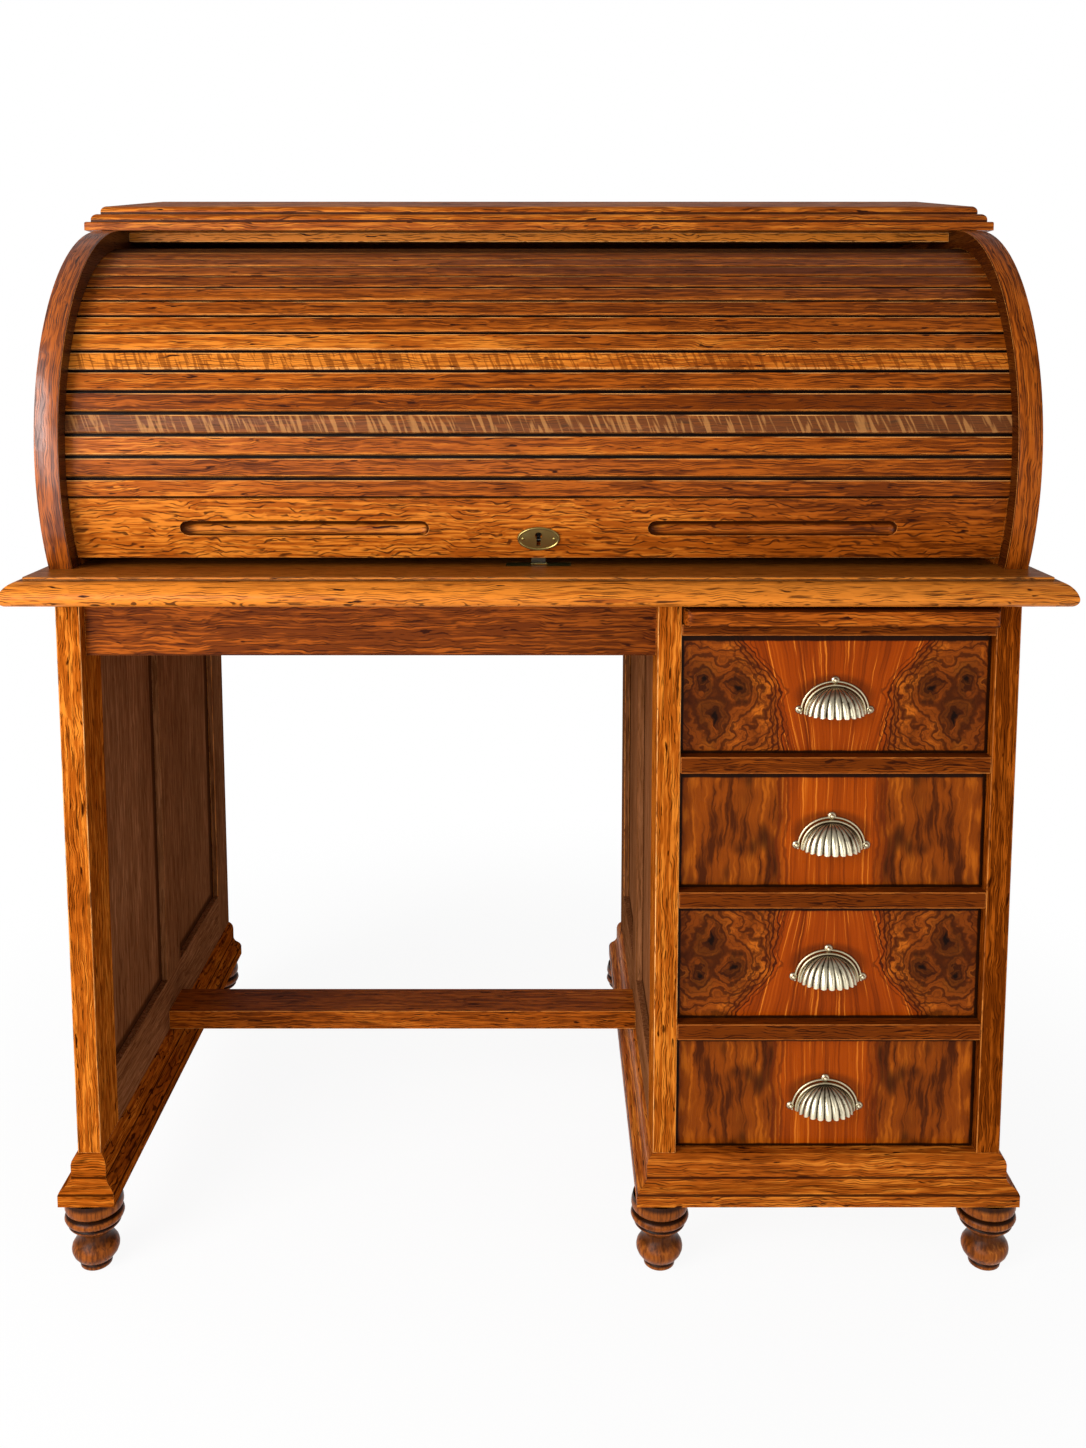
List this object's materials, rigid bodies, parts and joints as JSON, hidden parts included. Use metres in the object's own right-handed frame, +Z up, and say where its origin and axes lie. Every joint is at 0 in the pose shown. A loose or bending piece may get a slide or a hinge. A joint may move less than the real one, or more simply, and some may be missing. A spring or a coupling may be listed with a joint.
{
  "type": "roll-top writing desk",
  "caption": "Roll-top desk with a slatted tambour over a writing top, a pull-out slide, one pedestal of drawers with shell pulls, an open kneehole and turned feet.",
  "frame": {"origin": "on the floor under the middle of the writing top", "axes": "+X to the right of a person who sits at the desk, +Y away from them to the back, +Z up"},
  "size_m": [1.09, 0.66, 1.182],
  "materials": {
    "oak": "varnished, worn at the edges",
    "burr_walnut": "varnished burr veneer",
    "drawer_lining": "plain, waxed",
    "brass": "aged, dull in the hollows",
    "steel": "dull",
    "canvas": "coarse weave"
  },
  "bodies": {
    "carcase": {"drawer_rails": "oak", "drawer_runners": "drawer_lining", "gallery_back": "drawer_lining", "gallery_shelves": "drawer_lining", "gallery_uprights": "drawer_lining", "header_rail": "oak", "kneehole_apron": "oak", "left_end_front_stile": "oak", "left_end_panels": "oak", "left_end_rails": "oak", "left_end_rear_stile": "oak", "left_plinth": "oak", "lock_keeper": "brass", "pedestal_back": "oak", "pedestal_floor": "oak", "pedestal_inner_front_stile": "oak", "pedestal_inner_panels": "oak", "pedestal_inner_rails": "oak", "pedestal_inner_rear_stile": "oak", "pedestal_outer_front_stile": "oak", "pedestal_outer_panels": "oak", "pedestal_outer_rails": "oak", "pedestal_outer_rear_stile": "oak", "pedestal_plinth": "oak", "rear_apron": "oak", "roll_back_frame": "oak", "roll_back_panels": "oak", "roll_side_left": "oak", "roll_side_right": "oak", "stretcher": "oak", "top_board": "oak", "turned_feet": "oak", "writing_top": "oak"},
    "tambour": {"tambour_slats": "oak", "tambour_canvas": "canvas", "lift_rail": "oak", "escutcheon": "brass", "lock_case": "steel"},
    "lock_bolt": {"lock_bolt": "steel"},
    "writing_slide": {"writing_slide_board": "oak", "writing_slide_lip": "oak"},
    "drawer_1": {"drawer_1_front": "burr_walnut", "drawer_1_box": "drawer_lining", "drawer_1_bottom": "drawer_lining", "drawer_1_pull": "brass"},
    "drawer_2": {"drawer_2_front": "burr_walnut", "drawer_2_box": "drawer_lining", "drawer_2_bottom": "drawer_lining", "drawer_2_pull": "brass"},
    "drawer_3": {"drawer_3_front": "burr_walnut", "drawer_3_box": "drawer_lining", "drawer_3_bottom": "drawer_lining", "drawer_3_pull": "brass"},
    "drawer_4": {"drawer_4_front": "burr_walnut", "drawer_4_box": "drawer_lining", "drawer_4_bottom": "drawer_lining", "drawer_4_pull": "brass"}
  },
  "joints": [
    {"name": "tambour_roll", "type": "hinge", "parent": "carcase", "child": "tambour", "pos_m": [0, -0.033, 0.887], "axis": [-1, 0, 0], "range_deg": [-2.54, 86]},
    {"name": "lock_bolt_slide", "type": "slide", "parent": "tambour", "child": "lock_bolt", "axis": [0, -0.3144, 0.9493], "range_m": [0, 0.006]},
    {"name": "drawer_1_slide", "type": "slide", "parent": "carcase", "child": "drawer_1", "axis": [0, -1, 0], "range_m": [0, 0.4]},
    {"name": "drawer_2_slide", "type": "slide", "parent": "carcase", "child": "drawer_2", "axis": [0, -1, 0], "range_m": [0, 0.4]},
    {"name": "drawer_3_slide", "type": "slide", "parent": "carcase", "child": "drawer_3", "axis": [0, -1, 0], "range_m": [0, 0.4]},
    {"name": "drawer_4_slide", "type": "slide", "parent": "carcase", "child": "drawer_4", "axis": [0, -1, 0], "range_m": [0, 0.4]},
    {"name": "writing_slide_slide", "type": "slide", "parent": "carcase", "child": "writing_slide", "axis": [0, -1, 0], "range_m": [0, 0.3]}
  ]
}
